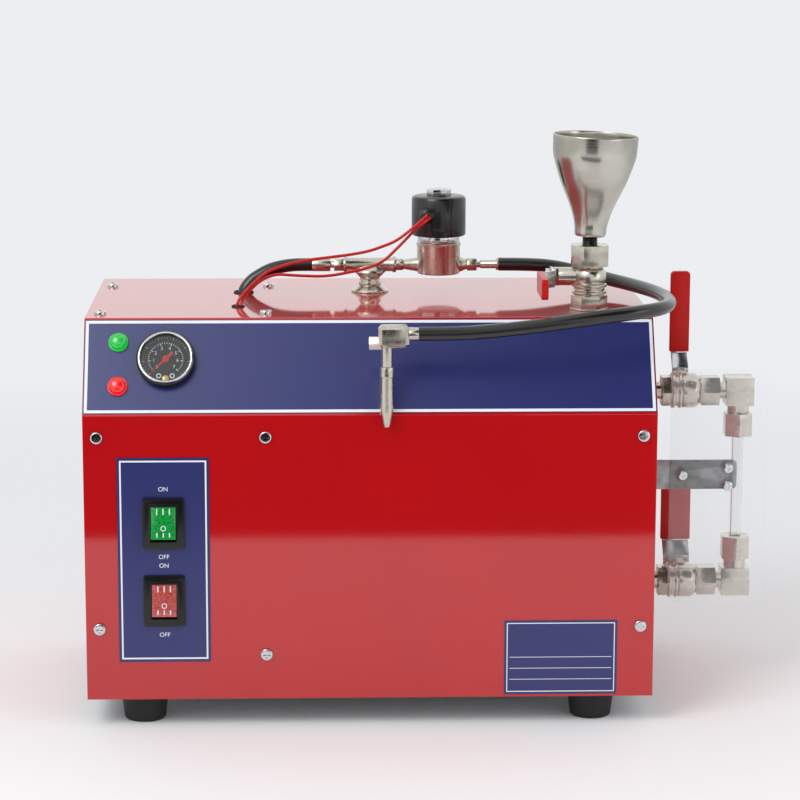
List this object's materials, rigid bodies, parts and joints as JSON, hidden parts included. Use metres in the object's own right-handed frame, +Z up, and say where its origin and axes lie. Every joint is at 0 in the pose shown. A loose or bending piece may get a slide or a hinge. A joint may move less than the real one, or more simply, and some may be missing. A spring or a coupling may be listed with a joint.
{
  "type": "jewelry steam cleaner",
  "caption": "Bench steam cleaner: sheet-metal cabinet with sloping control panel, boiler, filling funnel, side water gauge and a steam hose with nozzle.",
  "frame": {"origin": "under the middle of the machine, on the floor plane of its rubber feet", "axes": "+Z up, the control panel and the switches face -Y, +X is to the right as seen from the front, towards the water gauge"},
  "size_m": [0.5156, 0.2754, 0.4351],
  "materials": {
    "red_paint": "glossy powder coat",
    "zinc_steel": "zinc-plated sheet",
    "bright_screw": "bright plated",
    "navy_overlay": "printed film",
    "dark_plate": "printed film",
    "black_rubber": "moulded",
    "stainless": "brushed stainless steel",
    "polished_steel": "polished stainless steel",
    "nickel_brass": "nickel-plated",
    "bare_brass": "turned",
    "black_plastic": "moulded",
    "black_gloss": "moulded",
    "red_vinyl": "dipped vinyl grip",
    "red_wire": "wire insulation",
    "green_lens": "translucent",
    "red_lens": "translucent",
    "dial_black": "printed dial",
    "needle_red": "painted",
    "clear_glass": "clear",
    "clear_acrylic": "clear acrylic sheet",
    "spring_steel": "drawn wire",
    "grey_plastic": "moulded",
    "black_hose": "smooth outer cover"
  },
  "bodies": {
    "machine": {"base_tray": "zinc_steel", "cover": "red_paint", "left_side_panel": "red_paint", "right_side_panel": "red_paint", "rear_panel": "red_paint", "bulkhead": "zinc_steel", "control_overlay": "navy_overlay", "switch_plate": "dark_plate", "rating_plate": "dark_plate", "rubber_feet": "black_rubber", "panel_screws": "bright_screw", "boiler_tank": "stainless", "boiler_supports": "zinc_steel", "boiler_risers": "stainless", "heating_element": "stainless", "safety_valve": "bare_brass", "pressure_switch": "grey_plastic", "power_relay": "grey_plastic", "mains_gland": "black_plastic", "pedal_socket": "black_plastic", "drain_plug": "nickel_brass", "steam_tee": "nickel_brass", "hose_tails": "nickel_brass", "pressure_line": "black_hose", "top_grommets": "black_rubber", "top_lock_nuts": "nickel_brass", "solenoid_body": "nickel_brass", "solenoid_coil": "black_gloss", "coil_nut": "bright_screw", "plunger_spring": "spring_steel", "coil_leads": "red_wire", "gauge_case": "black_plastic", "gauge_bezel": "black_gloss", "gauge_dial": "dial_black", "gauge_lens": "clear_glass", "green_lamp": "green_lens", "red_lamp": "red_lens", "switch_bodies": "black_gloss", "funnel": "polished_steel", "fill_valve_body": "nickel_brass", "gauge_valve_bodies": "nickel_brass", "gauge_blocks": "nickel_brass", "gauge_gland_nuts": "nickel_brass", "gauge_glass": "clear_glass", "guard_bracket": "zinc_steel", "gauge_guard": "clear_acrylic", "steam_hose": "black_hose", "nozzle_ferrule": "nickel_brass", "nozzle_elbow": "nickel_brass", "steam_nozzle": "nickel_brass"},
    "fill_tap": {"fill_valve_ball": "stainless", "fill_lever": "red_vinyl"},
    "upper_gauge_tap": {"upper_valve_ball": "stainless", "upper_lever": "red_vinyl"},
    "lower_gauge_tap": {"lower_valve_ball": "stainless", "lower_lever": "red_vinyl"},
    "green_button": {"green_rocker": "green_lens"},
    "red_button": {"red_rocker": "red_lens"},
    "pressure_needle": {"gauge_pointer": "needle_red"},
    "steam_plunger": {"solenoid_plunger": "stainless"}
  },
  "joints": [
    {"name": "fill_valve", "type": "hinge", "parent": "machine", "child": "fill_tap", "pos_m": [0.11825, -0.05155, 0.327], "axis": [-1, 0, 0], "range_deg": [0, 90]},
    {"name": "upper_gauge_valve", "type": "hinge", "parent": "machine", "child": "upper_gauge_tap", "pos_m": [0.19525, -0.02255, 0.234], "axis": [0, 1, 0], "range_deg": [0, 90]},
    {"name": "lower_gauge_valve", "type": "hinge", "parent": "machine", "child": "lower_gauge_tap", "pos_m": [0.19525, -0.02255, 0.084], "axis": [0, 1, 0], "range_deg": [0, 90]},
    {"name": "green_switch", "type": "hinge", "parent": "machine", "child": "green_button", "pos_m": [-0.19975, -0.12505, 0.156], "axis": [1, 0, 0], "range_deg": [0, 14]},
    {"name": "red_switch", "type": "hinge", "parent": "machine", "child": "red_button", "pos_m": [-0.19975, -0.12505, 0.0976], "axis": [1, 0, 0], "range_deg": [0, 14]},
    {"name": "pressure_pointer", "type": "hinge", "parent": "machine", "child": "pressure_needle", "pos_m": [-0.19745, -0.10895, 0.27476], "axis": [0, 0.8609, -0.5087], "range_deg": [0, 270], "stiffness_Nm_per_rad": 0.0001, "springref_deg": -17.19},
    {"name": "steam_valve", "type": "slide", "parent": "machine", "child": "steam_plunger", "axis": [0, 0, 1], "range_m": [0, 0.0025], "stiffness_N_per_m": 400, "springref_m": -0.003, "deforming": ["plunger_spring"]}
  ]
}
